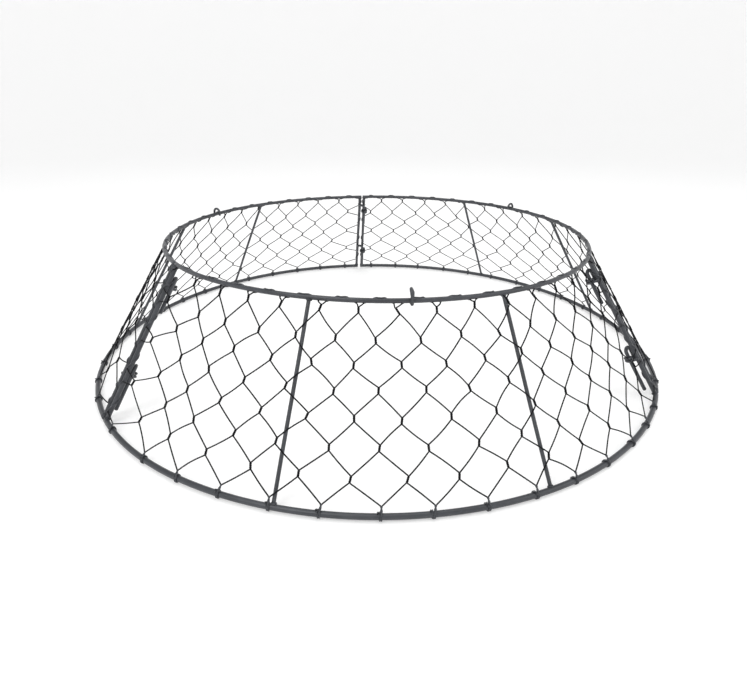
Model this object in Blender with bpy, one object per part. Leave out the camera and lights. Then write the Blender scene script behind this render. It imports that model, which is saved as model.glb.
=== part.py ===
"""Conical tree guard section: three wire-frame panels covered with hexagonal netting.

Units are metres, +Z is up, the guard stands on z = 0 and its centre line is the Z axis.
The panels meet at three seams, where hook pins drop through coiled eyes.
"""
import math

import bmesh
import bpy
from mathutils import Vector

# ---- driving dimensions -------------------------------------------------------------------
BOTTOM_RADIUS = 0.350        # centre line of the bottom ring
TOP_RADIUS = 0.255           # centre line of the top ring
RING_RISE = 0.1485           # height between the two ring centre lines
BOTTOM_ROD = 0.0055          # rod diameters
TOP_ROD = 0.0045
STILE_ROD = 0.0045
UPRIGHT_ROD = 0.0035
HOOK_WIRE = 0.0030
EYE_WIRE = 0.0030
PIN_WIRE = 0.0040
NET_WIRE = 0.0011
GAP = 0.0003                 # clearance left between touching pieces

SEAM_HALF_ANGLE = 0.8        # degrees from a seam to the stile on either side of it
NET_COLUMNS = 15             # netting cells across one panel
NET_ROWS = 8                 # rows of twists, the last one wrapped on the bottom ring
FIRST_ROW = 0.064            # middle of the first twist row, as a share of the slope
ROW_PITCH = 0.118            # first row spacing as a share of the slope
ROW_GROWTH = 0.0016          # how much the spacing opens out with every row
TWIST_LENGTH = 0.0060
NET_SAG = 0.0050             # how far the netting flattens inward between two posts
NET_CLEARANCE = 0.0003       # room under a straight wire where the cone curves away from it
NET_HOOK_CLEARANCE = 0.0005  # height between a hook's foot and the netting's top wire

EYE_STANDOFF = 0.0003        # clear space between a stile and the eye's coil
EYE_CLEARANCE = 0.0003       # radial room for the pin in its eye
EYE_TURNS = 1.25
UPPER_EYE = 0.15             # place of the eyes along the stile, 0 at the top ring
LOWER_EYE = 0.72
PIN_ARCH_RISE = 0.0085       # start of the pin's arch above its eye
PIN_FOOT = 0.0035            # reach of the pin's welded foot below the eye's level
UPPER_PIN_TAIL = 0.027       # length of pin below its eye
LOWER_PIN_TAIL = 0.039

HOOK_RADIUS = 0.0048         # centre line radius of the stacking hook's arch
HOOK_FOOT = 0.0008           # how far the hook's leg reaches below the top ring centre line

RAIL_STEPS = 20              # segments along each rail
RAIL_SIDES = 8
ROD_SIDES = 8

# Every panel by azimuth in degrees: the seams at its two ends, its uprights and its hook.
# lean: how far an upright's top stands ahead of its middle, and its foot behind it.
# hook_rise: centre of the hook's arch above the top ring's centre line.
# pull: degrees the netting is drawn round at the start stile and at the end stile, and the
# power of its change between them.
PANELS = {
    "front": {"seams": (210.8, 328.2), "uprights": (250.5, 289.5), "lean": 0.4,
              "hook": 270.5, "hook_rise": 0.0052, "pull": (3.4, -1.2, 2.0)},
    "right": {"seams": (-31.8, 90.0), "uprights": (10.5, 49.5), "lean": -0.3,
              "hook": 30.8, "hook_rise": 0.0026, "pull": (2.0, 1.2, 1.0)},
    "left": {"seams": (90.0, 210.8), "uprights": (130.3, 168.0), "lean": -0.4,
             "hook": 150.0, "hook_rise": 0.0026, "pull": (0.5, -3.0, 1.0)},
}

# ---- derived sizes ------------------------------------------------------------------------
BASE_Z = 0.5 * BOTTOM_ROD * math.cos(math.pi / RAIL_SIDES)
SLANT = math.hypot(BOTTOM_RADIUS - TOP_RADIUS, RING_RISE)
SLOPE_IN = (BOTTOM_RADIUS - TOP_RADIUS) / SLANT
SLOPE_UP = RING_RISE / SLANT
EYE_RADIUS = 0.5 * (PIN_WIRE + EYE_WIRE) + EYE_CLEARANCE
PIN_INSET = 0.5 * STILE_ROD + EYE_STANDOFF + 0.5 * EYE_WIRE + EYE_RADIUS
PIN_SHIFT = 0.5 * (STILE_ROD + EYE_WIRE) + GAP - EYE_RADIUS
NET_LIFT = 0.5 * max(BOTTOM_ROD, TOP_ROD, STILE_ROD, UPRIGHT_ROD) + GAP + NET_CLEARANCE
NET_TOP_DROP = ((NET_LIFT + NET_WIRE) * SLOPE_IN + HOOK_FOOT + NET_HOOK_CLEARANCE) / SLOPE_UP


def axes(azimuth):
    """Outward normal of the cone, direction of growing azimuth, and the way up the slope."""
    a = math.radians(azimuth)
    radial = Vector((math.cos(a), math.sin(a), 0.0))
    tangent = Vector((-math.sin(a), math.cos(a), 0.0))
    normal = radial * SLOPE_UP + Vector((0.0, 0.0, SLOPE_IN))
    upward = Vector((0.0, 0.0, SLOPE_UP)) - radial * SLOPE_IN
    return normal, tangent, upward


def on_cone(azimuth, down, out=0.0):
    """Point at a distance down the slope from the top ring, lifted off the cone by out."""
    normal, _, upward = axes(azimuth)
    a = math.radians(azimuth)
    top = Vector((TOP_RADIUS * math.cos(a), TOP_RADIUS * math.sin(a), BASE_Z + RING_RISE))
    return top - upward * down + normal * out


def material(name, colour, roughness):
    mat = bpy.data.materials.new(name)
    mat.use_nodes = True
    shader = mat.node_tree.nodes["Principled BSDF"]
    shader.inputs["Base Color"].default_value = (*colour, 1.0)
    shader.inputs["Metallic"].default_value = 0.6
    shader.inputs["Roughness"].default_value = roughness
    return mat


def add_object(name, verts, faces, colour=(0.12, 0.125, 0.135), roughness=0.45):
    mesh = bpy.data.meshes.new(name)
    mesh.from_pydata([tuple(v) for v in verts], [], faces)
    bm = bmesh.new()
    bm.from_mesh(mesh)
    bmesh.ops.recalc_face_normals(bm, faces=bm.faces)
    if bm.calc_volume(signed=True) < 0.0:
        bmesh.ops.reverse_faces(bm, faces=bm.faces)
    bmesh.ops.triangulate(bm, faces=bm.faces)
    bm.to_mesh(mesh)
    bm.free()
    mesh.materials.append(material(name + "_coat", colour, roughness))
    obj = bpy.data.objects.new(name, mesh)
    bpy.context.scene.collection.objects.link(obj)
    return obj


def sweep(name, path, diameter, sides, side_hint, colour=(0.12, 0.125, 0.135)):
    """Solid rod along a path. side_hint sets which way the first flat of the section faces."""
    count = len(path)
    verts, faces = [], []
    reference = side_hint.normalized()
    for i, point in enumerate(path):
        ahead = path[min(i + 1, count - 1)] - point
        behind = point - path[max(i - 1, 0)]
        run = (ahead.normalized() + behind.normalized()).normalized()
        reference = (reference - run * reference.dot(run)).normalized()
        other = run.cross(reference)
        stretch = 1.0
        if 0 < i < count - 1:
            stretch = 1.0 / max(0.5, ahead.normalized().dot(run))
        bend = ahead.normalized() - behind.normalized()
        for k in range(sides):
            turn = 2.0 * math.pi * (k + 0.5) / sides
            spoke = (reference * math.cos(turn) + other * math.sin(turn)) * (0.5 * diameter)
            if 0 < i < count - 1 and bend.length > 1e-6:
                way = bend.normalized()
                spoke = spoke + way * (spoke.dot(way) * (stretch - 1.0))
            verts.append(point + spoke)
    for i in range(count - 1):
        for k in range(sides):
            a, b = i * sides + k, i * sides + (k + 1) % sides
            faces.append((a, b, b + sides, a + sides))
    faces.append(tuple(range(sides))[::-1])
    faces.append(tuple((count - 1) * sides + k for k in range(sides)))
    return add_object(name, verts, faces, colour)


def stiles(panel):
    """Azimuths of the panel's start stile and end stile."""
    start_seam, end_seam = panel["seams"]
    return start_seam + SEAM_HALF_ANGLE, end_seam - SEAM_HALF_ANGLE


def rail(name, panel, radius, height, diameter):
    """The panel's share of a ring, lying level, with a flat along its underside."""
    start, end = stiles(panel)
    overhang = math.degrees(0.5 * STILE_ROD / radius)
    path = []
    for i in range(RAIL_STEPS + 1):
        a = math.radians(start - overhang + (end - start + 2.0 * overhang) * i / RAIL_STEPS)
        path.append(Vector((radius * math.cos(a), radius * math.sin(a), height)))
    return sweep(name, path, diameter, RAIL_SIDES, Vector((0.0, 0.0, 1.0)))


def post(name, azimuth, diameter, lean=0.0):
    """Straight rod welded between the two rails, its top turned ahead of its foot by the lean."""
    upper = on_cone(azimuth + lean, 0.5 * TOP_ROD + GAP)
    lower = on_cone(azimuth - lean, SLANT - 0.5 * BOTTOM_ROD - GAP)
    return sweep(name, [lower, upper], diameter, ROD_SIDES, axes(azimuth)[0])


def arc(centre, start, towards, radius, first, last, steps):
    """Points of a circular bend in the plane of two directions, angles in degrees."""
    points = []
    for i in range(steps + 1):
        a = math.radians(first + (last - first) * i / steps)
        points.append(centre + (start * math.cos(a) + towards * math.sin(a)) * radius)
    return points


def hook(name, azimuth, rise):
    """Stacking hook: a leg on the outside of the top rail, arched inward over it."""
    a = math.radians(azimuth)
    out = Vector((math.cos(a), math.sin(a), 0.0))
    up = Vector((0.0, 0.0, 1.0))
    rail_point = out * TOP_RADIUS + up * (BASE_Z + RING_RISE)
    leg = 0.5 * TOP_ROD + GAP + 0.5 * HOOK_WIRE
    centre = rail_point + out * (leg - HOOK_RADIUS) + up * rise
    path = [rail_point + out * leg - up * HOOK_FOOT]
    path += arc(centre, out, up, HOOK_RADIUS, 0.0, 180.0, 9)
    path.append(path[-1] - up * 0.003)
    return sweep(name, path, HOOK_WIRE, ROD_SIDES, Vector((-math.sin(a), math.cos(a), 0.0)))


def pin_point(seam, along, lift=0.0):
    """Point on a seam's pin axis at a share of the slope, moved up the slope by lift."""
    azimuth = seam - SEAM_HALF_ANGLE
    normal, tangent, upward = axes(azimuth)
    point = on_cone(azimuth, along * SLANT, -PIN_INSET)
    return point - tangent * PIN_SHIFT + upward * lift


def eye(name, seam, along):
    """Coiled eye whose tail is welded to the side of the stile."""
    azimuth = seam - SEAM_HALF_ANGLE
    normal, tangent, upward = axes(azimuth)
    centre = pin_point(seam, along)
    pitch = EYE_WIRE + 0.0002
    path = [centre + normal * (PIN_INSET + 0.001) - tangent * EYE_RADIUS]
    steps = int(round(EYE_TURNS * 16))
    for i in range(steps + 1):
        turn = -0.5 * math.pi - 2.0 * math.pi * EYE_TURNS * i / steps
        rise = upward * (pitch * EYE_TURNS * i / steps)
        path.append(centre + (normal * math.cos(turn) + tangent * math.sin(turn)) * EYE_RADIUS + rise)
    return sweep(name, path, EYE_WIRE, 6, upward)


def drop_pin(name, seam, along, tail):
    """Inverted hook welded to the neighbouring stile, its long leg hanging through the eye."""
    normal, tangent, upward = axes(seam - SEAM_HALF_ANGLE)
    inset = 0.5 * STILE_ROD + GAP + 0.5 * PIN_WIRE
    weld_foot = on_cone(seam + SEAM_HALF_ANGLE, along * SLANT + PIN_FOOT, -inset)
    weld_head = on_cone(seam + SEAM_HALF_ANGLE, along * SLANT - PIN_ARCH_RISE, -inset)
    leg_head = pin_point(seam, along, PIN_ARCH_RISE)
    span = leg_head - weld_head
    span -= upward * span.dot(upward)
    radius = 0.5 * span.length
    middle = weld_head + span * 0.5
    bend = arc(middle, -span.normalized(), upward, radius, 0.0, 180.0, 7)
    path = [weld_foot, *bend, pin_point(seam, along, -tail)]
    return sweep(name, path, PIN_WIRE, ROD_SIDES, span.cross(upward))


def net_corner(panel, kind, row, column):
    """Place of a netting corner as an azimuth and a distance down the slope."""
    start, end = stiles(panel)
    share = 0.5 * column / NET_COLUMNS
    azimuth = start + (end - start) * share
    if column < 2 * NET_COLUMNS:
        first_pull, last_pull, power = panel["pull"]
        pull = first_pull + (last_pull - first_pull) * share ** power
        azimuth += pull * min(1.0, max(0.0, (column - 1) / 1.2))
    if kind == "rail":
        return azimuth, NET_TOP_DROP
    if kind == "end" or (kind == "foot" and row == NET_ROWS - 1):
        return azimuth, SLANT + 0.3 * BOTTOM_ROD
    centre = (FIRST_ROW + ROW_PITCH * row + ROW_GROWTH * row * row) * SLANT
    return azimuth, centre + (0.5 if kind == "foot" else -0.5) * TWIST_LENGTH


def net_lift(panel, azimuth, down):
    """Lift of the netting's back off the slope. It flattens between posts, midway down."""
    start, end = stiles(panel)
    stops = (start, *panel["uprights"], end)
    sag = 0.0
    for low, high in zip(stops, stops[1:]):
        if low < azimuth < high:
            sag = NET_SAG * math.sin(math.pi * (azimuth - low) / (high - low)) ** 2
    return NET_LIFT - sag * math.sin(math.pi * min(1.0, down / SLANT))


def net_cells():
    """Cells as rings of corners. Twists of a row stand on columns of that row's parity."""
    last = 2 * NET_COLUMNS
    cells = []
    for column in range(0, last + 1, 2):
        ring = [("rail", -1, max(column - 1, 0)), ("rail", -1, min(column + 1, last))]
        cells.append(ring + [("head", 0, column)])
    for row in range(-1, NET_ROWS - 1):
        for column in range((row + 2) % 2, last + 1, 2):
            ring = [("rail", -1, column) if row < 0 else ("foot", row, column)]
            if column < last:
                ring += [("head", row + 1, column + 1), ("foot", row + 1, column + 1)]
            elif row == NET_ROWS - 2:
                ring.append(("end", 0, column))
            if row < NET_ROWS - 2:
                ring.append(("head", row + 2, column))
            if column > 0:
                ring += [("foot", row + 1, column - 1), ("head", row + 1, column - 1)]
            elif row == NET_ROWS - 2:
                ring.append(("end", 0, column))
            cells.append(ring)
    return cells


def wire_width(first, second, border):
    """Half width of the wire along one side of a cell."""
    bottom = {("end", 0), ("foot", NET_ROWS - 1)}
    if first[:2] in bottom and second[:2] in bottom:
        return 0.0
    if border:
        return NET_WIRE
    return (0.75 if first[2] == second[2] else 0.5) * NET_WIRE


def inset_corners(points, widths):
    """Corners of a polygon moved inward by its own width along every side, in the plane."""
    moved = []
    count = len(points)
    for i in range(count):
        before, here, after = points[i - 1], points[i], points[(i + 1) % count]
        run_in, run_out = (here - before).normalized(), (after - here).normalized()
        side_in = Vector((run_in.y, -run_in.x)) * widths[i - 1]
        side_out = Vector((run_out.y, -run_out.x)) * widths[i]
        cross = run_in.x * run_out.y - run_in.y * run_out.x
        if abs(cross) < 0.05:
            moved.append(here + (side_in if side_in.length > side_out.length else side_out))
            continue
        apart = side_out - side_in
        reach = (apart.x * run_out.y - apart.y * run_out.x) / cross
        moved.append(here + side_in + run_in * reach)
    return moved


def net(name, panel):
    """Hexagonal netting as one body: every wire has a flat back and a ridge facing outward."""
    cells = net_cells()
    sides = {}
    for ring in cells:
        for i, key in enumerate(ring):
            pair = frozenset((key, ring[(i + 1) % len(ring)]))
            sides[pair] = sides.get(pair, 0) + 1

    bm = bmesh.new()
    ridge, base = {}, {}

    def on_ridge(key):
        if key not in ridge:
            azimuth, down = net_corner(panel, *key)
            lift = net_lift(panel, azimuth, down)
            ridge[key] = bm.verts.new(on_cone(azimuth, down, lift + NET_WIRE))
        return ridge[key]

    def on_base(key):
        if key not in base:
            azimuth, down = net_corner(panel, *key)
            base[key] = bm.verts.new(on_cone(azimuth, down, net_lift(panel, azimuth, down)))
        return base[key]

    backs = {}
    for ring in cells:
        places = [net_corner(panel, *key) for key in ring]
        centre_azimuth = sum(p[0] for p in places) / len(places)
        _, tangent, upward = axes(centre_azimuth)
        solid = [on_cone(az, down, net_lift(panel, az, down)) for az, down in places]
        flat = [Vector((p.dot(tangent), p.dot(upward))) for p in solid]
        widths = []
        for i, key in enumerate(ring):
            after = ring[(i + 1) % len(ring)]
            widths.append(wire_width(key, after, sides[frozenset((key, after))] == 1))
        inner = []
        for point, start, moved in zip(solid, flat, inset_corners(flat, widths)):
            shift = moved - start
            inner.append(bm.verts.new(point + tangent * shift.x + upward * shift.y))
        for i, key in enumerate(ring):
            j = (i + 1) % len(ring)
            if widths[i] == 0.0:
                continue
            bm.faces.new((on_ridge(key), on_ridge(ring[j]), inner[j], inner[i]))
            backs.setdefault(frozenset((key, ring[j])), []).append({key: inner[i], ring[j]: inner[j]})

    for pair, sides_of in backs.items():
        a, b = tuple(sorted(pair))
        near = sides_of[0]
        if len(sides_of) == 2:
            far = sides_of[1]
        else:
            far = {a: on_base(a), b: on_base(b)}
            bm.faces.new((on_ridge(a), on_ridge(b), far[b], far[a]))
        bm.faces.new((near[a], near[b], far[b], far[a]))
    open_edges = [edge for edge in bm.edges if edge.is_boundary]
    bmesh.ops.holes_fill(bm, edges=open_edges, sides=0)
    bmesh.ops.recalc_face_normals(bm, faces=bm.faces)
    bm.verts.index_update()
    verts = [vert.co.copy() for vert in bm.verts]
    faces = [[vert.index for vert in face.verts] for face in bm.faces]
    bm.free()
    return add_object(name, verts, faces, (0.07, 0.072, 0.078), 0.5)


# ---- build --------------------------------------------------------------------------------
for old in list(bpy.data.objects):
    bpy.data.objects.remove(old, do_unlink=True)

for side, panel in PANELS.items():
    rail(side + "_bottom_rail", panel, BOTTOM_RADIUS, BASE_Z, BOTTOM_ROD)
    rail(side + "_top_rail", panel, TOP_RADIUS, BASE_Z + RING_RISE, TOP_ROD)
    start_seam, end_seam = panel["seams"]
    post(side + "_start_stile", start_seam + SEAM_HALF_ANGLE, STILE_ROD)
    post(side + "_end_stile", end_seam - SEAM_HALF_ANGLE, STILE_ROD)
    for count, azimuth in enumerate(panel["uprights"], 1):
        post(side + "_upright_%d" % count, azimuth, UPRIGHT_ROD, panel["lean"])
    hook(side + "_stacking_hook", panel["hook"], panel["hook_rise"])
    net(side + "_netting", panel)
    for place, along, length in (("upper", UPPER_EYE, UPPER_PIN_TAIL),
                                 ("lower", LOWER_EYE, LOWER_PIN_TAIL)):
        eye(side + "_" + place + "_eye", end_seam, along)
        drop_pin(side + "_" + place + "_pin", start_seam, along, length)
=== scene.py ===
"""Visual model of a conical tree guard section: welded round rods and twisted wire netting."""
import math

import bpy
import numpy as np
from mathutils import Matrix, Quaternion, Vector


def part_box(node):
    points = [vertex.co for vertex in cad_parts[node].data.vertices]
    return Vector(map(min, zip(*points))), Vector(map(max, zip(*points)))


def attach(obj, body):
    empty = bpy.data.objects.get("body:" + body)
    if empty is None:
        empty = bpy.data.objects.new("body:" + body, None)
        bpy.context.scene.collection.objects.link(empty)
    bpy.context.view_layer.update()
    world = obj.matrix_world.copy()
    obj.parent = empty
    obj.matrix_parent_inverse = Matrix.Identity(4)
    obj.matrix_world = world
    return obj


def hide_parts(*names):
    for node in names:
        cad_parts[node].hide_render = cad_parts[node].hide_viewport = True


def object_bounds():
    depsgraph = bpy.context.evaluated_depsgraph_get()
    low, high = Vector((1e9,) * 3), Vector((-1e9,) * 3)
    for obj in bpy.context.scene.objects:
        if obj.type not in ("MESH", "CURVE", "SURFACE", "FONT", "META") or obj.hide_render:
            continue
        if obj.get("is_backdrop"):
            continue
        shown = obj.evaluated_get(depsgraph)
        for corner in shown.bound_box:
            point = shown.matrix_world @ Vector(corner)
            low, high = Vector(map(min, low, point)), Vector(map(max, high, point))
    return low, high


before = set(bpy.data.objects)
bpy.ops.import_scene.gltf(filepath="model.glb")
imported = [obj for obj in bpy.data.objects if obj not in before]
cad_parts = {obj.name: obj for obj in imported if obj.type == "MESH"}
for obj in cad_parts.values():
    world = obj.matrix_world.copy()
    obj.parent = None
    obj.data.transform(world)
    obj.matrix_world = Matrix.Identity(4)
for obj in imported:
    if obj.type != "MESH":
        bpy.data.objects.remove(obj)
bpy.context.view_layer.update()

# ---- sizes taken from the frame -----------------------------------------------------------


def ring_measures(node):
    """Centre line radius and height of a ring, from its front rail's box."""
    low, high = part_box(node)
    half = 0.5 * (high[2] - low[2])
    return -low[1] - half, low[2] + half


BOTTOM_RADIUS, BOTTOM_Z = ring_measures("front_bottom_rail")
TOP_RADIUS, TOP_Z = ring_measures("front_top_rail")
SLANT = math.hypot(BOTTOM_RADIUS - TOP_RADIUS, TOP_Z - BOTTOM_Z)
SLOPE_IN = (BOTTOM_RADIUS - TOP_RADIUS) / SLANT
SLOPE_UP = (TOP_Z - BOTTOM_Z) / SLANT

# ---- sizes of the rods and fittings --------------------------------------------------------
BOTTOM_ROD, TOP_ROD, STILE_ROD, UPRIGHT_ROD = 0.0055, 0.0045, 0.0045, 0.0035
HOOK_WIRE, EYE_WIRE, PIN_WIRE, NET_WIRE = 0.0030, 0.0030, 0.0040, 0.0011
SEAM_HALF_ANGLE = 0.8
# Every panel by azimuth in degrees: its seams, uprights and hook. lean: how far an upright's
# top stands ahead of its middle. hook_rise: centre of the hook's arch above the ring.
# pull: degrees the netting is drawn round at each stile, and the power of its change.
PANELS = {
    "front": {"seams": (210.8, 328.2), "uprights": (250.5, 289.5), "lean": 0.4,
              "hook": 270.5, "hook_rise": 0.0052, "pull": (3.4, -1.2, 2.0)},
    "right": {"seams": (-31.8, 90.0), "uprights": (11.2, 50.2), "lean": 0.2,
              "hook": 30.8, "hook_rise": 0.0026, "pull": (2.0, 1.2, 1.0)},
    "left": {"seams": (90.0, 210.8), "uprights": (130.3, 168.0), "lean": -0.4,
             "hook": 150.0, "hook_rise": 0.0026, "pull": (0.5, -3.0, 1.0)},
}
EYE_RADIUS, EYE_TURNS, EYE_PITCH = 0.0038, 1.25, 0.0032
PIN_INSET, PIN_SHIFT, PIN_ARCH_RISE, PIN_FOOT = 0.00785, 0.00025, 0.0085, 0.0035
SEAM_FITTINGS = {"upper": (0.15, 0.027), "lower": (0.72, 0.039)}   # place on the slope, pin tail
HOOK_RADIUS, HOOK_FOOT = 0.0048, 0.0026   # arch, and the foot's depth below the ring's middle

# ---- welds --------------------------------------------------------------------------------
WELD_SET = 0.0001                    # how far a bead stands off the rod it joins
TOP_BEAD, BOTTOM_BEAD = 0.0009, 0.0011   # thickness of the bead round a post's end
RUN_BEAD, HOOK_BEAD = 0.0008, 0.0007     # thickness of a weld laid along two touching rods
EYE_RUN, PIN_RUN = 0.0030, 0.0085        # length of the welds at an eye and at a pin

# ---- hand-built unevenness ----------------------------------------------------------------
# The top ring is lowest at this azimuth, and its right-hand side is drawn in by the shift.
SETTLE_AZIMUTH, SETTLE_DROP, SETTLE_SHIFT = 316.0, 0.0030, 0.0008

# ---- netting ------------------------------------------------------------------------------
COLUMNS = 15
ROWS = 8
TWIST_LENGTH = 0.0060
TWIST_TURNS = 2
ROW_PLACE = (0.070, 0.118, 0.0016)   # first row, spacing and its growth, as shares of the slope
ROW_SLIP = {"front": 0.0, "right": 0.018, "left": 0.010}   # rows hang lower by this share
STILE_DROP = {"front": 0.004, "right": 0.009, "left": 0.009}   # fall of a wire to its stile
TOP_ROW = 0.050                      # the first row is drawn up under the top rail
NET_COAT = 0.0001                    # coating that the netting's wires carry on every side
NET_SAG = {"front": 0.0080, "right": 0.0170, "left": 0.0150}   # flattening between two posts
CREST = 0.10                         # a wire's crest on the top rail, past the middle of its gap
STRAND_RADIUS = 0.52 * NET_WIRE      # a strand's distance from the middle of its twist
# Lift of the netting off the slope, at distances down the slope, before it flattens.
LIFT_DOWN, LIFT = (0.004, 0.022, SLANT), (0.0010, 0.0026, 0.0033)
POST_WIDTH = 1.1                     # degrees over which the netting climbs over a post
ARM_OPENING = {1: 0.0046, -1: 0.0030}   # spread of the right and left arms under the top rail
# Round the top rail, from a crest to a twist: share of the way, and angle round the rod.
ARM_SHARE = np.array([0.0, 0.08, 0.17, 0.25, 0.33, 0.41, 0.50, 0.62, 0.74, 0.87, 1.0])
ARM_TURN = np.array([84.0, 86.0, 94.0, 108.0, 126.0, 144.0, 164.0, 188.0, 210.0, 234.0, 262.0])
# Unevenness: a twist's azimuth in degrees, its height and tilt, and a wire's bow.
UNEVEN_AZIMUTH, UNEVEN_DOWN, UNEVEN_TILT, UNEVEN_BOW = 0.20, 0.0008, 0.0005, 0.0004


# ---- geometry helpers ---------------------------------------------------------------------


def radial(azimuth):
    a = np.radians(azimuth)
    return np.stack([np.cos(a), np.sin(a), np.zeros_like(a)], -1)


def tangent(azimuth):
    a = np.radians(azimuth)
    return np.stack([-np.sin(a), np.cos(a), np.zeros_like(a)], -1)


UP = np.array([0.0, 0.0, 1.0])


def normal(azimuth):
    return radial(azimuth) * SLOPE_UP + UP * SLOPE_IN


def upslope(azimuth):
    return UP * SLOPE_UP - radial(azimuth) * SLOPE_IN


def cone(azimuth, down, out=0.0):
    """Points on the guard's slope: distance down from the top ring, and lift off the slope."""
    azimuth, down, out = np.broadcast_arrays(*(np.asarray(v, float) for v in (azimuth, down, out)))
    top = radial(azimuth) * TOP_RADIUS + UP * TOP_Z
    return top - upslope(azimuth) * down[..., None] + normal(azimuth) * out[..., None]


def round_ring(azimuth, turn, ring_radius, ring_z, distance):
    """Points round a ring's rod. turn 0 faces outward and 90 faces up."""
    azimuth, turn = np.broadcast_arrays(np.asarray(azimuth, float), np.asarray(turn, float))
    t = np.radians(turn)[..., None]
    out, up = ring_radius + distance * np.cos(t), ring_z + distance * np.sin(t)
    return radial(azimuth) * out + UP * up


def settled(points):
    """Points moved by the guard's unevenness, which grows with height above the ground."""
    azimuth = np.arctan2(points[:, 1], points[:, 0])
    height = np.clip(points[:, 2] / TOP_Z, 0.0, 1.1)
    moved = points.copy()
    low_side = np.clip(np.cos(azimuth - math.radians(SETTLE_AZIMUTH)), 0.0, 1.0) ** 2
    moved[:, 2] -= SETTLE_DROP * height * low_side
    moved[:, 0] -= SETTLE_SHIFT * height * np.clip(np.cos(azimuth), 0.0, 1.0) ** 2
    return moved


class Builder:
    """Collects closed tubes and beads into one mesh."""

    def __init__(self):
        self.verts, self.faces, self.count = [], [], 0

    def add(self, verts, faces):
        self.verts.append(verts)
        self.faces += [[i + self.count for i in face] for face in faces]
        self.count += len(verts)

    def tube(self, path, radius, sides, cap=0.35):
        """Round rod along a path. radius may change from point to point."""
        path = np.asarray(path, float)
        radius = np.broadcast_to(np.asarray(radius, float), (len(path),)).copy()
        first, last = path[0] - path[1], path[-1] - path[-2]
        first, last = first / np.linalg.norm(first), last / np.linalg.norm(last)
        head, tail = path[0] + first * radius[0] * cap, path[-1] + last * radius[-1] * cap
        path = np.vstack([head, path, tail])
        radius = np.concatenate([[radius[0] * 0.7], radius, [radius[-1] * 0.7]])
        run = np.diff(path, axis=0)
        run /= np.linalg.norm(run, axis=1)[:, None]
        mean = np.vstack([run[0], run[:-1] + run[1:], run[-1]])
        mean /= np.linalg.norm(mean, axis=1)[:, None]
        spare = np.eye(3)[np.argmin(np.abs(mean[0]))]
        side = spare - mean[0] * spare.dot(mean[0])
        side /= np.linalg.norm(side)
        turn = 2.0 * np.pi * np.arange(sides) / sides
        rings = []
        for point, along, size in zip(path, mean, radius):
            side = side - along * side.dot(along)
            side /= np.linalg.norm(side)
            other = np.cross(along, side)
            spokes = np.cos(turn)[:, None] * side + np.sin(turn)[:, None] * other
            rings.append(point + size * spokes)
        verts = np.vstack(rings)
        faces = []
        for i in range(len(path) - 1):
            for k in range(sides):
                a, b = i * sides + k, i * sides + (k + 1) % sides
                faces.append((a, b, b + sides, a + sides))
        faces.append(tuple(range(sides))[::-1])
        faces.append(tuple((len(path) - 1) * sides + k for k in range(sides)))
        self.add(verts, faces)

    def bead(self, centre, axis, ring, thick, rng, around=20, across=8):
        """Weld bead: a lumpy ring of melted metal round a joint."""
        axis = axis / np.linalg.norm(axis)
        spare = np.eye(3)[np.argmin(np.abs(axis))]
        side = np.cross(axis, spare)
        side /= np.linalg.norm(side)
        other = np.cross(axis, side)
        lumps = 1.0 + 0.22 * rng.standard_normal(around)
        lumps = 0.5 * lumps + 0.25 * (np.roll(lumps, 1) + np.roll(lumps, -1))
        verts, faces = [], []
        for i in range(around):
            a = 2.0 * np.pi * i / around
            spoke = side * np.cos(a) + other * np.sin(a)
            for k in range(across):
                b = 2.0 * np.pi * k / across
                size = thick * lumps[i]
                verts.append(centre + spoke * (ring + size * np.cos(b)) + axis * size * np.sin(b))
                j, m = (i + 1) % around, (k + 1) % across
                faces.append((i * across + k, j * across + k, j * across + m, i * across + m))
        self.add(np.array(verts), faces)

    def run(self, start, end, thick, rng, sides=10):
        """Weld run: a short rippled bead laid along two touching rods."""
        steps = 12
        t = np.linspace(0.0, 1.0, steps)
        path = start + (end - start) * t[:, None]
        swell = np.sin(np.pi * (0.12 + 0.76 * t)) ** 0.6
        ripple = 1.0 + 0.10 * np.sin(t * 26.0) + 0.06 * rng.standard_normal(steps)
        self.tube(path, thick * swell * ripple, sides, cap=0.5)

    def finish(self, name, body, material, nodes=(), slot=None):
        mesh = bpy.data.meshes.new(name)
        mesh.from_pydata(settled(np.vstack(self.verts)).tolist(), [], self.faces)
        mesh.polygons.foreach_set("use_smooth", [True] * len(mesh.polygons))
        mesh.update()
        mesh.materials.append(material)
        obj = bpy.data.objects.new(name, mesh)
        bpy.context.scene.collection.objects.link(obj)
        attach(obj, body)
        if nodes:
            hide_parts(*nodes)
        return obj


# ---- materials ----------------------------------------------------------------------------


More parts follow.
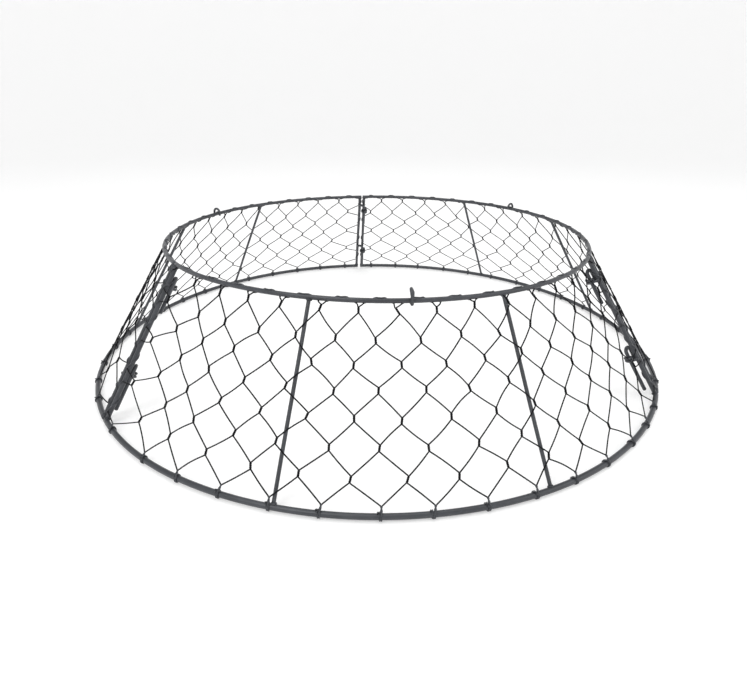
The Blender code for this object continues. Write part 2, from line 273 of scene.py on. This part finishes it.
def steel(name, colour, roughness, shine, speck=0.5, bump=0.12, grain=900.0):
    """Dark coated steel: cloudy tone, fine orange-peel bump and small worn flecks."""
    mat = bpy.data.materials.new(name)
    mat.use_nodes = True
    nodes, links = mat.node_tree.nodes, mat.node_tree.links
    shader = nodes["Principled BSDF"]
    place = nodes.new("ShaderNodeTexCoord")

    def noise(scale, detail, rough=0.55):
        node = nodes.new("ShaderNodeTexNoise")
        node.inputs["Scale"].default_value = scale
        node.inputs["Detail"].default_value = detail
        node.inputs["Roughness"].default_value = rough
        links.new(place.outputs["Object"], node.inputs["Vector"])
        return node.outputs["Fac"]

    def ramp(source, *stops):
        node = nodes.new("ShaderNodeValToRGB")
        node.color_ramp.elements[0].position = stops[0][0]
        node.color_ramp.elements[1].position = stops[-1][0]
        for stop in stops[1:-1]:
            node.color_ramp.elements.new(stop[0])
        for element, stop in zip(node.color_ramp.elements, stops):
            element.color = (*stop[1], 1.0)
        links.new(source, node.inputs["Fac"])
        return node.outputs["Color"]

    def scaled(factor):
        return tuple(min(1.0, c * factor) for c in colour)

    cloud = ramp(noise(38.0, 5.0), (0.30, scaled(0.78)), (0.52, colour), (0.74, scaled(1.28)))
    fleck = ramp(noise(grain * 0.55, 3.0), (0.66, (0.0, 0.0, 0.0)), (0.74, (speck, speck, speck)))
    mix = nodes.new("ShaderNodeMix")
    mix.data_type = "RGBA"
    links.new(fleck, mix.inputs["Factor"])
    links.new(cloud, mix.inputs[6])
    mix.inputs[7].default_value = (*scaled(2.1), 1.0)
    links.new(mix.outputs[2], shader.inputs["Base Color"])
    rough = nodes.new("ShaderNodeMapRange")
    rough.inputs["To Min"].default_value = roughness - 0.10
    rough.inputs["To Max"].default_value = roughness + 0.14
    links.new(noise(160.0, 4.0), rough.inputs["Value"])
    links.new(rough.outputs["Result"], shader.inputs["Roughness"])
    shader.inputs["Metallic"].default_value = 0.15
    shader.inputs["Specular IOR Level"].default_value = shine
    relief = nodes.new("ShaderNodeBump")
    relief.inputs["Strength"].default_value = bump
    relief.inputs["Distance"].default_value = 0.0004
    links.new(noise(grain, 4.0), relief.inputs["Height"])
    links.new(relief.outputs["Normal"], shader.inputs["Normal"])
    return mat


ROD = steel("rod_coat", (0.046, 0.049, 0.056), 0.36, 0.50)
WIRE = steel("netting_coat", (0.004, 0.0045, 0.006), 0.60, 0.15, speck=0.3)
WELD = steel("weld_coat", (0.048, 0.051, 0.058), 0.55, 0.35, speck=0.7, bump=0.35, grain=600.0)


# ---- frame of rods ------------------------------------------------------------------------


def stiles(panel):
    """Azimuths of the panel's start stile and end stile."""
    start_seam, end_seam = panel["seams"]
    return start_seam + SEAM_HALF_ANGLE, end_seam - SEAM_HALF_ANGLE


def rail_piece(side, kind):
    """The panel's share of a ring: a bent round rod with a faint hand-bent waver."""
    radius, height, rod = (BOTTOM_RADIUS, BOTTOM_Z, BOTTOM_ROD) if kind == "bottom" else (
        TOP_RADIUS, TOP_Z, TOP_ROD)
    start, end = stiles(PANELS[side])
    overhang = math.degrees(0.5 * STILE_ROD / radius) - 0.03
    azimuth = np.linspace(start - overhang, end + overhang, 121)
    wave = 0.00022 * np.sin(np.radians(azimuth * 7.0 + 40.0)) * np.cos(np.radians(azimuth * 3.0))
    path = radial(azimuth) * (radius + wave)[:, None] + UP * height
    part = Builder()
    part.tube(path, 0.5 * rod, 20, cap=0.25)
    name = side + "_" + kind + "_rail"
    part.finish(name + "_rod", side + "_panel", ROD, [name], name + "_coat")


def post_ends(azimuth, lean):
    """Ends of a post on the rails' centre lines. Its top stands ahead of its foot by the lean."""
    return cone(azimuth + lean, 0.0), cone(azimuth - lean, SLANT)


def post_piece(side, name, azimuth, rod, lean=0.0):
    """Straight rod whose ends run into the welds on both rails."""
    upper, lower = post_ends(azimuth, lean)
    down = np.linspace(0.35 * TOP_ROD, SLANT - 0.40 * BOTTOM_ROD, 24)
    sway = 0.00015 * np.sin(down * 40.0 + azimuth)
    path = upper + (lower - upper) * (down / SLANT)[:, None]
    path = path + tangent(np.full(down.shape, azimuth)) * sway[:, None]
    part = Builder()
    part.tube(path, 0.5 * rod, 18)
    node = side + "_" + name
    part.finish(node + "_rod", side + "_panel", ROD, [node], node + "_coat")


def hook_piece(side, lean, drop, tip_over):
    """Stacking hook. Its arch leans sideways, its free end bends away and comes down by drop."""
    azimuth, rise = np.array(PANELS[side]["hook"]), PANELS[side]["hook_rise"]
    out, along = radial(azimuth), tangent(azimuth)
    leg = 0.5 * (TOP_ROD + HOOK_WIRE)
    foot = out * (TOP_RADIUS + leg) + UP * (TOP_Z - HOOK_FOOT)
    centre = out * (TOP_RADIUS + leg - HOOK_RADIUS) + UP * (TOP_Z + rise)
    turn = np.radians(np.linspace(0.0, 180.0, 22))
    arch = centre + HOOK_RADIUS * (np.cos(turn)[:, None] * out + np.sin(turn)[:, None] * UP)
    arch = arch + along * (lean * (turn / np.pi) ** 2 + tip_over * np.sin(turn))[:, None]
    tip = arch[-1] - UP * drop
    path = np.vstack([foot, 0.5 * (foot + arch[0]), arch, tip])
    part = Builder()
    part.tube(path, 0.5 * HOOK_WIRE, 16)
    node = side + "_stacking_hook"
    part.finish(node + "_wire", side + "_panel", ROD, [node], node + "_coat")


def pin_axis(seam, along, lift=0.0):
    azimuth = np.array(seam - SEAM_HALF_ANGLE)
    point = cone(azimuth, along * SLANT, -PIN_INSET)
    return point - tangent(azimuth) * PIN_SHIFT + upslope(azimuth) * lift


def eye_piece(side, place, seam):
    """Coiled eye with its tail welded along the stile."""
    azimuth = np.array(seam - SEAM_HALF_ANGLE)
    out, along, up = normal(azimuth), tangent(azimuth), upslope(azimuth)
    centre = pin_axis(seam, SEAM_FITTINGS[place][0])
    turn = -0.5 * np.pi - 2.0 * np.pi * EYE_TURNS * np.linspace(0.0, 1.0, 46)
    rise = EYE_PITCH * EYE_TURNS * np.linspace(0.0, 1.0, 46)
    coil = centre + EYE_RADIUS * (np.cos(turn)[:, None] * out + np.sin(turn)[:, None] * along)
    coil = coil + up * rise[:, None]
    tail = centre + out * (PIN_INSET + 0.001) - along * EYE_RADIUS
    part = Builder()
    part.tube(np.vstack([tail, 0.5 * (tail + coil[0]), coil]), 0.5 * EYE_WIRE, 14)
    node = side + "_" + place + "_eye"
    part.finish(node + "_coil", side + "_panel", ROD, [node], node + "_coat")


def pin_path(seam, place):
    along, tail = SEAM_FITTINGS[place]
    up = upslope(np.array(seam - SEAM_HALF_ANGLE))
    inset = 0.5 * (STILE_ROD + PIN_WIRE)
    weld_foot = cone(seam + SEAM_HALF_ANGLE, along * SLANT + PIN_FOOT, -inset)
    weld_head = cone(seam + SEAM_HALF_ANGLE, along * SLANT - PIN_ARCH_RISE, -inset)
    leg_head = pin_axis(seam, along, PIN_ARCH_RISE)
    span = leg_head - weld_head
    span = span - up * span.dot(up)
    radius = 0.5 * np.linalg.norm(span)
    middle = weld_head + 0.5 * span
    turn = np.radians(np.linspace(0.0, 180.0, 20))
    bend = middle - 0.5 * np.cos(turn)[:, None] * span + radius * np.sin(turn)[:, None] * up
    middle_leg, leg_end = pin_axis(seam, along, -0.5 * tail), pin_axis(seam, along, -tail)
    return np.vstack([weld_foot, bend, middle_leg, leg_end])


def pin_piece(side, place, seam):
    """Drop pin: an inverted hook whose long leg hangs through the neighbour's eye."""
    part = Builder()
    part.tube(pin_path(seam, place), 0.5 * PIN_WIRE, 16)
    node = side + "_" + place + "_pin"
    part.finish(node + "_wire", side + "_panel", ROD, [node], node + "_coat")


def weld_piece(side, rng):
    """All weld beads of one panel."""
    part, panel = Builder(), PANELS[side]
    posts = [(azimuth, STILE_ROD, 0.0) for azimuth in stiles(panel)]
    posts += [(azimuth, UPRIGHT_ROD, panel["lean"]) for azimuth in panel["uprights"]]
    for azimuth, rod, lean in posts:
        upper, lower = post_ends(azimuth, lean)
        axis = (upper - lower) / SLANT
        part.bead(upper - axis * (0.5 * TOP_ROD + WELD_SET), axis, 0.5 * rod, TOP_BEAD, rng)
        part.bead(lower + axis * (0.5 * BOTTOM_ROD + WELD_SET), axis, 0.5 * rod, BOTTOM_BEAD, rng)
    for flank in (-1.0, 1.0):
        shift = math.degrees(flank * 0.0014 / TOP_RADIUS)
        here = radial(np.array(panel["hook"] + shift))
        beside = here * (TOP_RADIUS + 0.5 * TOP_ROD + 0.0003)
        start, end = beside + UP * (TOP_Z - 0.0020), beside + UP * (TOP_Z + 0.0010)
        part.run(start, end, HOOK_BEAD, rng)
    start_seam, end_seam = panel["seams"]
    for place, (along, _) in SEAM_FITTINGS.items():
        azimuth = np.array(end_seam - SEAM_HALF_ANGLE)
        beside = 0.5 * STILE_ROD + WELD_SET
        side_of = cone(azimuth, along * SLANT, 0.0) - tangent(azimuth) * beside
        for lift in (-0.0013, 0.0013):
            start = side_of + upslope(azimuth) * lift - normal(azimuth) * 0.0018
            part.run(start, start + normal(azimuth) * EYE_RUN, RUN_BEAD, rng)
        azimuth = np.array(start_seam + SEAM_HALF_ANGLE)
        for flank in (-1.0, 1.0):
            foot = cone(azimuth, along * SLANT + 0.003, -0.5 * STILE_ROD - WELD_SET)
            foot = foot + tangent(azimuth) * flank * 0.0013
            part.run(foot, foot + upslope(azimuth) * PIN_RUN, RUN_BEAD, rng)
    part.finish(side + "_welds", side + "_panel", WELD, (), side + "_bottom_rail_coat")


# ---- netting ------------------------------------------------------------------------------


def net_lift(side, azimuth, down):
    """Lift of the netting off the slope. It sags between posts and rides over each post."""
    panel = PANELS[side]
    azimuth, down = np.broadcast_arrays(np.asarray(azimuth, float), np.asarray(down, float))
    lift = np.interp(down, LIFT_DOWN, LIFT)
    start, end = stiles(panel)
    stops = (start, *panel["uprights"], end)
    for low, high in zip(stops, stops[1:]):
        share = np.clip((azimuth - low) / (high - low), 0.0, 1.0)
        flat = 4.0 * share * (1.0 - share) * np.sin(np.pi * np.clip(down / SLANT, 0.0, 1.0))
        lift = lift - NET_SAG[side] * flat
    for post in panel["uprights"]:
        clear = 0.5 * (UPRIGHT_ROD + NET_WIRE) * np.exp(-((azimuth - post) / POST_WIDTH) ** 2)
        lift = np.maximum(lift, clear)
    return lift


class Net:
    """Twisted hexagonal netting of one panel. Columns run from 0 at the start stile."""

    def __init__(self, side, rng):
        self.side, self.panel = side, PANELS[side]
        self.start, self.end = stiles(self.panel)
        self.last = 2 * COLUMNS
        self.az, self.dn, self.tilt = {}, {}, {}
        first, pitch, growth = ROW_PLACE
        for row in range(ROWS):
            slip = ROW_SLIP[side] * math.sin(math.pi * row / (ROWS - 1))
            place = first + pitch * row + growth * row * row + slip if row else TOP_ROW
            for column in range(row % 2, self.last + 1, 2):
                stray = UNEVEN_AZIMUTH * rng.standard_normal()
                self.az[row, column] = self.azimuth(column) + stray
                self.dn[row, column] = place * SLANT + UNEVEN_DOWN * rng.standard_normal()
                self.tilt[row, column] = UNEVEN_TILT * rng.standard_normal()
        self.bow = {zone: UNEVEN_BOW * rng.standard_normal(ROWS) for zone in range(self.last)}

    def azimuth(self, column):
        """Azimuth of a column. Free columns are pulled round, the stile columns are not."""
        share = column / self.last
        place = self.start + (self.end - self.start) * share
        if column >= self.last:
            return place
        first_pull, last_pull, power = self.panel["pull"]
        pull = first_pull + (last_pull - first_pull) * share ** power
        return place + pull * min(1.0, max(0.0, (column - 1) / 1.2))

    def on_net(self, azimuth, down, out=0.0):
        return cone(azimuth, down, net_lift(self.side, azimuth, down) + out)

    def twist(self, row, column, hand):
        """One strand of a twist. hand is 1 for the strand on the right and -1 on the left."""
        steps = 15
        t = np.linspace(0.0, 1.0, steps)
        half = 0.5 * TWIST_LENGTH
        down = self.dn[row, column] + half * (2.0 * t - 1.0)
        lean = self.tilt[row, column] * (2.0 * t - 1.0)
        turn = (0.0 if hand > 0 else np.pi) + 2.0 * np.pi * TWIST_TURNS * t
        here = np.full(steps, self.az[row, column])
        points = self.on_net(here, down, 0.0002 + STRAND_RADIUS * np.sin(turn))
        return points + tangent(here) * (lean + STRAND_RADIUS * np.cos(turn))[:, None]

    def stile_wrap(self, column, down_in, down_out):
        """A strand wrapped once round the end stile."""
        azimuth = self.start if column == 0 else self.end
        inward = 1.0 if column == 0 else -1.0
        t = np.linspace(0.0, 1.0, 22)
        turn = np.radians(60.0 + 420.0 * t)
        down = down_in + (down_out - down_in) * t
        distance = 0.5 * STILE_ROD + 0.5 * NET_WIRE
        here = np.full(t.shape, azimuth)
        points = cone(here, down, distance * np.sin(turn))
        return points + tangent(here) * (inward * distance * np.cos(turn))[:, None]

    def top_arm(self, column, hand):
        """From the crest on the top rail, back over it, behind and under, towards a twist."""
        distance = 0.5 * TOP_ROD + 0.3 * NET_WIRE
        crest = self.azimuth(column + hand) + CREST * (self.end - self.start) / self.last
        if column in (0, self.last):
            foot = self.azimuth(column) + hand * 1.0
        else:
            foot = self.az[0, column] + hand * math.degrees(ARM_OPENING[hand] / TOP_RADIUS)
        azimuth = crest + (foot - crest) * ARM_SHARE
        return round_ring(azimuth, ARM_TURN, TOP_RADIUS, TOP_Z, distance)

    def bottom_wrap(self, column, hand):
        """Down over the bottom rail's front and once round it. The right strand sticks out."""
        distance = 0.5 * BOTTOM_ROD + 0.5 * NET_WIRE
        tilt = self.tilt[ROWS - 1, column]
        azimuth = self.az[ROWS - 1, column] + math.degrees(tilt / BOTTOM_RADIUS)
        lean = math.degrees(math.asin(SLOPE_IN))
        t = np.linspace(0.0, 1.0, 28)
        turn = lean - (330.0 + 20.0 * hand) * t
        drift = 0.0006 * hand - 0.0024 * t
        lift = distance + 0.0012 * np.clip((t - 0.93) / 0.07, 0.0, 1.0)
        here = azimuth + np.degrees(drift / BOTTOM_RADIUS)
        return round_ring(here, turn, BOTTOM_RADIUS, BOTTOM_Z, lift[:, None])

    def bottom_head(self, column, hand):
        """Short twisted pair between the last diagonals and the bottom rail."""
        row = ROWS - 1
        t = np.linspace(0.0, 1.0, 7)
        even = np.mean([self.dn[row, other] for other in range(1, self.last, 2)])
        start = SLANT - 0.0080 + 0.6 * (self.dn[row, column] - even)
        down = start + (SLANT - 0.0004 - start) * t
        turn = (0.0 if hand > 0 else np.pi) + 2.0 * np.pi * t
        here = np.full(t.shape, self.az[row, column])
        points = self.on_net(here, down, STRAND_RADIUS * np.sin(turn) * (1.0 - t))
        lean = self.tilt[row, column] * (2.0 * t - 1.0)
        return points + tangent(here) * (lean + STRAND_RADIUS * np.cos(turn))[:, None]

    def span(self, start, end, bow):
        """Nearly straight wire between two twists, lying on the netting's own surface."""
        t = np.linspace(0.0, 1.0, 7)[1:-1]
        middle = 0.5 * (self.start + self.end)
        across = np.cross(end - start, normal(np.array(middle)))
        across /= np.linalg.norm(across)
        line = start + (end - start) * t[:, None] + across * (bow * np.sin(np.pi * t))[:, None]
        azimuth = np.degrees(np.arctan2(line[:, 1], line[:, 0]))
        azimuth = middle + (azimuth - middle + 180.0) % 360.0 - 180.0
        radius = np.hypot(line[:, 0], line[:, 1])
        down = (TOP_RADIUS - radius) * -SLOPE_IN + (TOP_Z - line[:, 2]) * SLOPE_UP
        lift = (radius - TOP_RADIUS) * SLOPE_UP + (line[:, 2] - TOP_Z) * SLOPE_IN
        over = np.maximum(0.0, net_lift(self.side, azimuth, down) - lift)
        return line + normal(azimuth) * (over * 0.8)[:, None]

    def strand(self, zone):
        """Runs of the wire that zigzags between columns zone and zone + 1.

        Each run is a path, and whether that path is wrapped round a rod.
        """
        pieces = []
        for row in range(ROWS):
            column = zone if zone % 2 == row % 2 else zone + 1
            hand = 1 if column == zone else -1
            if row == 0:
                pieces.append((self.top_arm(column, hand), True))
            if column in (0, self.last):
                near = 1 if column == 0 else self.last - 1
                drop = 0.5 * TWIST_LENGTH + STILE_DROP[self.side]
                over = self.dn[row - 1, near] + drop if row else 0.006
                under = self.dn[row + 1, near] - drop
                pieces.append((self.stile_wrap(column, over, under), True))
            elif row == ROWS - 1:
                pieces.append((self.bottom_head(column, hand), True))
                pieces.append((self.bottom_wrap(column, hand), True))
            else:
                pieces.append((self.twist(row, column, hand), False))
        runs = [list(pieces[0])]
        for row, (piece, wrapped) in enumerate(pieces[1:]):
            last = runs[-1][0][-1]
            if np.linalg.norm(piece[0] - last) > 0.004:
                free = self.span(last, piece[0], self.bow[zone][row % ROWS])
                runs.append([np.vstack([last, free, piece[0]]), False])
                piece = piece[1:]
            runs.append([np.vstack([runs[-1][0][-1], piece]), wrapped])
        return runs

    def build(self):
        wires, wraps = Builder(), Builder()
        for zone in range(self.last):
            for path, wrapped in self.strand(zone):
                (wraps if wrapped else wires).tube(path, 0.5 * NET_WIRE + NET_COAT, 6)
        node = self.side + "_netting"
        wires.finish(node + "_wires", self.side + "_panel", WIRE, [node], node + "_coat")
        wraps.finish(node + "_wraps", self.side + "_panel", ROD, (), node + "_coat")


# ---- build the guard ----------------------------------------------------------------------
# Each hook's sideways lean, the fall of its free end, and how far its arch tips over.
HOOK_BENDS = {"front": (0.0022, 0.0040, -0.0008), "right": (0.0, 0.0002, 0.0),
              "left": (0.0008, 0.0042, 0.0)}
for index, (side, panel) in enumerate(PANELS.items()):
    rng = np.random.default_rng(11 + index)
    start_stile, end_stile = stiles(panel)
    rail_piece(side, "bottom")
    rail_piece(side, "top")
    post_piece(side, "start_stile", start_stile, STILE_ROD)
    post_piece(side, "end_stile", end_stile, STILE_ROD)
    for count, azimuth in enumerate(panel["uprights"], 1):
        post_piece(side, "upright_%d" % count, azimuth, UPRIGHT_ROD, panel["lean"])
    hook_piece(side, *HOOK_BENDS[side])
    for place in SEAM_FITTINGS:
        eye_piece(side, place, panel["seams"][1])
        pin_piece(side, place, panel["seams"][0])
    weld_piece(side, rng)
    Net(side, rng).build()

# ---- floor, lights and camera -------------------------------------------------------------


FLOOR_RADIUS, COVE_RADIUS, WALL_HEIGHT = 2.6, 1.2, 2.6
FLOOR_TONE, FLOOR_GLOW = 0.66, 0.37


def studio_floor(level):
    """Pale floor that curves up into a round backdrop."""
    profile = [(0.0, 0.0), (0.5, 0.0), (1.5, 0.0), (FLOOR_RADIUS, 0.0)]
    for i in range(1, 13):
        a = math.radians(90.0 * i / 12)
        out, up = COVE_RADIUS * math.sin(a), COVE_RADIUS * (1.0 - math.cos(a))
        profile.append((FLOOR_RADIUS + out, up))
    profile.append((FLOOR_RADIUS + COVE_RADIUS, WALL_HEIGHT))
    around = 96
    spokes = [2 * math.pi * k / around for k in range(around)]
    verts = [(0.0, 0.0, level)]
    faces = []
    for r, z in profile[1:]:
        verts += [(r * math.cos(spoke), r * math.sin(spoke), level + z) for spoke in spokes]
    faces += [(0, 1 + k, 1 + (k + 1) % around) for k in range(around)]
    for ring in range(len(profile) - 2):
        for k in range(around):
            a, b = 1 + ring * around + k, 1 + ring * around + (k + 1) % around
            faces.append((a, a + around, b + around, b))
    mesh = bpy.data.meshes.new("studio_floor")
    mesh.from_pydata(verts, [], faces)
    mesh.polygons.foreach_set("use_smooth", [True] * len(mesh.polygons))
    mat = bpy.data.materials.new("pale_floor")
    mat.use_nodes = True
    shader = mat.node_tree.nodes["Principled BSDF"]
    shader.inputs["Base Color"].default_value = (FLOOR_TONE, FLOOR_TONE, FLOOR_TONE, 1.0)
    shader.inputs["Roughness"].default_value = 0.9
    shader.inputs["Emission Color"].default_value = (1.0, 1.0, 1.0, 1.0)
    shader.inputs["Emission Strength"].default_value = FLOOR_GLOW
    mesh.materials.append(mat)
    floor = bpy.data.objects.new("studio_floor", mesh)
    bpy.context.scene.collection.objects.link(floor)
    floor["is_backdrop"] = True


def soft_light(name, place, size, watts):
    data = bpy.data.lights.new(name, "AREA")
    data.shape = "DISK"
    data.size = size
    data.energy = watts
    light = bpy.data.objects.new(name, data)
    light.location = place
    light.rotation_euler = (-Vector(place)).to_track_quat("-Z", "Y").to_euler()
    bpy.context.scene.collection.objects.link(light)


studio_floor(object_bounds()[0][2] - 0.0001)
soft_light("key", (-1.2, -1.4, 2.3), 1.6, 28.0)
soft_light("fill", (1.7, -0.8, 1.6), 1.8, 12.0)
soft_light("top", (0.0, 0.4, 2.8), 2.6, 31.0)

world = bpy.data.worlds.new("studio")
world.use_nodes = True
world.node_tree.nodes["Background"].inputs["Color"].default_value = (1.0, 1.0, 1.0, 1.0)
world.node_tree.nodes["Background"].inputs["Strength"].default_value = 0.34
bpy.context.scene.world = world
bpy.context.scene.view_settings.view_transform = "Standard"

CAMERA_PLACE = Vector((-0.0710, -0.6758, 0.3056))
CAMERA_AIM = Vector((0.0, 0.0, -0.0063))
CAMERA_ROLL = 0.22                   # degrees
camera_data = bpy.data.cameras.new("camera")
camera_data.sensor_width = 36.0
camera_data.lens = 25.83
camera_data.shift_x = -0.0048
camera_data.clip_start = 0.01
camera = bpy.data.objects.new("camera", camera_data)
camera.location = CAMERA_PLACE
camera.rotation_mode = "QUATERNION"
level = (CAMERA_AIM - CAMERA_PLACE).to_track_quat("-Z", "Y")
camera.rotation_quaternion = level @ Quaternion((0.0, 0.0, 1.0), math.radians(CAMERA_ROLL))
bpy.context.scene.collection.objects.link(camera)
bpy.context.scene.camera = camera
